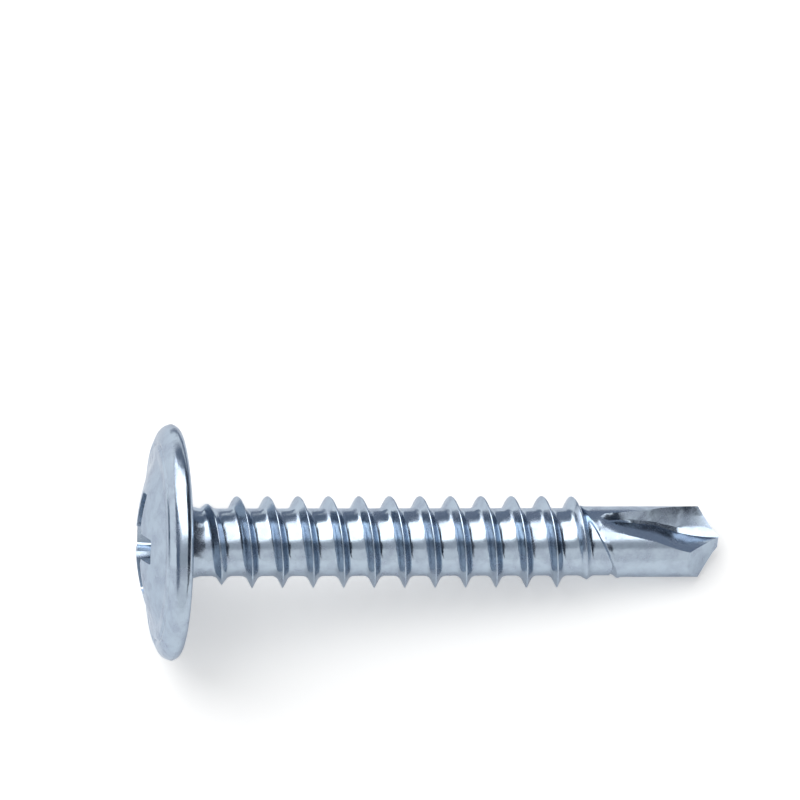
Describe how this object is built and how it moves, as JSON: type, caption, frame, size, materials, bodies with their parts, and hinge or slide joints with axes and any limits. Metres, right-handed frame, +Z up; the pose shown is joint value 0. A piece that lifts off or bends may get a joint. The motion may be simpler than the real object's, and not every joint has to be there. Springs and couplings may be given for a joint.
{
  "type": "self drilling screw",
  "caption": "Zinc plated steel self drilling screw with a wide low modified truss head, a cross recess, a coarse spaced thread and a fluted drill point, lying on its side.",
  "frame": {"origin": "centre of the bounding box's bottom, on the surface that the screw lies on", "axes": "+Z up; the screw's axis lies in the XZ plane with the head towards -X and the drill point towards +X, sloping down to the point as the screw rests on its head's rim and astride a flute"},
  "size_m": [0.0267, 0.0108, 0.0106],
  "materials": {
    "zinc_plated_steel": "satin blue-white zinc plating"
  },
  "bodies": {
    "root": {"screw": "zinc_plated_steel"}
  },
  "joints": []
}
